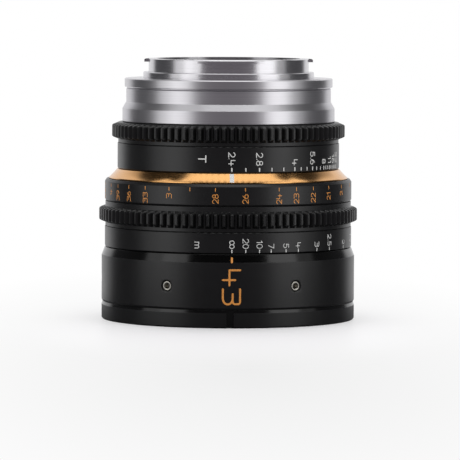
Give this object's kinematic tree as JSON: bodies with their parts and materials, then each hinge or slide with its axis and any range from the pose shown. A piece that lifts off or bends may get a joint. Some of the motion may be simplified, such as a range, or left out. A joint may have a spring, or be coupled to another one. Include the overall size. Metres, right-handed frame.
{
  "type": "cinema prime lens",
  "caption": "Round cinema lens with geared focus and iris rings, engraved scales, a golden index ring, a filter thread in front and a bayonet camera mount behind.",
  "frame": {"origin": "centre of the front rim, on the surface the lens stands on", "axes": "+Z along the optical axis from the front rim to the camera mount, -Y towards the index line"},
  "size_m": [0.0816, 0.0816, 0.0822],
  "materials": {
    "black_anodised": "satin black anodised, engraved and filled",
    "matt_black": "matt black anodised",
    "gold_anodised": "gold anodised, fine turned",
    "bare_aluminium": "fine turned, bare",
    "bayonet_steel": "satin, nickel grey",
    "screw_steel": "plain steel",
    "brass": "plain",
    "coated_glass": "polished with an anti-reflection coating",
    "white_fill": "white enamel in engraved marks",
    "orange_fill": "orange enamel in engraved marks",
    "blade_steel": "matt black spring steel"
  },
  "bodies": {
    "lens_body": {"front_ring": "black_anodised", "front_barrel": "black_anodised", "front_barrel_set_screws": "screw_steel", "main_barrel": "matt_black", "index_ring": "gold_anodised", "focus_stop_screw": "screw_steel", "mount_base": "bare_aluminium", "mount_base_screws": "screw_steel", "mount_shim": "bayonet_steel", "bayonet_mount": "bayonet_steel", "bayonet_screws": "screw_steel", "rear_baffle": "matt_black"},
    "focus_ring": {"focus_sleeve": "matt_black", "metre_scale_ring": "black_anodised", "focus_gear_ring": "black_anodised", "feet_scale_ring": "black_anodised"},
    "iris_ring": {"iris_sleeve": "matt_black", "iris_scale_ring": "black_anodised", "iris_gear_ring": "black_anodised", "iris_drive_pin": "screw_steel"},
    "lens_block": {"lens_carrier": "matt_black", "cam_followers": "screw_steel", "front_baffle_ring": "matt_black", "front_cell": "matt_black", "front_retaining_ring": "matt_black", "front_spacer": "matt_black", "doublet_retaining_ring": "matt_black", "lens_1": "coated_glass", "lens_2": "coated_glass", "lens_3": "coated_glass", "lens_4": "coated_glass", "iris_housing": "matt_black", "rear_cell": "matt_black", "rear_cell_screws": "screw_steel", "lens_5": "coated_glass", "lens_6": "coated_glass", "lens_7": "coated_glass", "lens_8": "coated_glass", "rear_spacer_1": "matt_black", "rear_spacer_2": "matt_black", "rear_retaining_ring": "matt_black"},
    "iris_cam": {"iris_cam_ring": "brass"},
    "blade_1": {"iris_blade_1": "blade_steel"},
    "blade_2": {"iris_blade_2": "blade_steel"},
    "blade_3": {"iris_blade_3": "blade_steel"},
    "blade_4": {"iris_blade_4": "blade_steel"},
    "blade_5": {"iris_blade_5": "blade_steel"},
    "blade_6": {"iris_blade_6": "blade_steel"},
    "blade_7": {"iris_blade_7": "blade_steel"},
    "blade_8": {"iris_blade_8": "blade_steel"},
    "blade_9": {"iris_blade_9": "blade_steel"}
  },
  "joints": [
    {"name": "focus_turn", "type": "hinge", "parent": "lens_body", "child": "focus_ring", "pos_m": [0, 0, 0.0334], "axis": [0, 0, -1], "range_deg": [0, 270.02]},
    {"name": "block_slide", "type": "slide", "parent": "lens_body", "child": "lens_block", "axis": [0, 0, -1], "range_m": [0, 0.00392]},
    {"name": "iris_turn", "type": "hinge", "parent": "lens_body", "child": "iris_ring", "pos_m": [0, 0, 0.0551], "axis": [0, 0, -1], "range_deg": [0, 72.5]},
    {"name": "cam_turn", "type": "hinge", "parent": "lens_block", "child": "iris_cam", "pos_m": [0, 0, 0.0395], "axis": [0, 0, -1], "range_deg": [0, 72.5]},
    {"name": "blade_1_turn", "type": "hinge", "parent": "lens_block", "child": "blade_1", "pos_m": [0.0225, 0, 0.0373], "axis": [0, 0, -1], "range_deg": [0, 27.81]},
    {"name": "blade_2_turn", "type": "hinge", "parent": "lens_block", "child": "blade_2", "pos_m": [0.01724, 0.01446, 0.0373], "axis": [0, 0, -1], "range_deg": [0, 27.81]},
    {"name": "blade_3_turn", "type": "hinge", "parent": "lens_block", "child": "blade_3", "pos_m": [0.00391, 0.02216, 0.0373], "axis": [0, 0, -1], "range_deg": [0, 27.81]},
    {"name": "blade_4_turn", "type": "hinge", "parent": "lens_block", "child": "blade_4", "pos_m": [-0.01125, 0.01949, 0.0373], "axis": [0, 0, -1], "range_deg": [0, 27.81]},
    {"name": "blade_5_turn", "type": "hinge", "parent": "lens_block", "child": "blade_5", "pos_m": [-0.02114, 0.0077, 0.0373], "axis": [0, 0, -1], "range_deg": [0, 27.81]},
    {"name": "blade_6_turn", "type": "hinge", "parent": "lens_block", "child": "blade_6", "pos_m": [-0.02114, -0.0077, 0.0373], "axis": [0, 0, -1], "range_deg": [0, 27.81]},
    {"name": "blade_7_turn", "type": "hinge", "parent": "lens_block", "child": "blade_7", "pos_m": [-0.01125, -0.01949, 0.0373], "axis": [0, 0, -1], "range_deg": [0, 27.81]},
    {"name": "blade_8_turn", "type": "hinge", "parent": "lens_block", "child": "blade_8", "pos_m": [0.00391, -0.02216, 0.0373], "axis": [0, 0, -1], "range_deg": [0, 27.81]},
    {"name": "blade_9_turn", "type": "hinge", "parent": "lens_block", "child": "blade_9", "pos_m": [0.01724, -0.01446, 0.0373], "axis": [0, 0, -1], "range_deg": [0, 27.81]}
  ],
  "couplings": [
    {"joint": "focus_turn", "follows": "block_slide", "rad_per_m": 1203.7},
    {"joint": "cam_turn", "follows": "iris_turn", "ratio": 1},
    {"joint": "blade_1_turn", "follows": "iris_turn", "ratio": 0.38345},
    {"joint": "blade_2_turn", "follows": "iris_turn", "ratio": 0.38345},
    {"joint": "blade_3_turn", "follows": "iris_turn", "ratio": 0.38345},
    {"joint": "blade_4_turn", "follows": "iris_turn", "ratio": 0.38345},
    {"joint": "blade_5_turn", "follows": "iris_turn", "ratio": 0.38345},
    {"joint": "blade_6_turn", "follows": "iris_turn", "ratio": 0.38345},
    {"joint": "blade_7_turn", "follows": "iris_turn", "ratio": 0.38345},
    {"joint": "blade_8_turn", "follows": "iris_turn", "ratio": 0.38345},
    {"joint": "blade_9_turn", "follows": "iris_turn", "ratio": 0.38345}
  ]
}
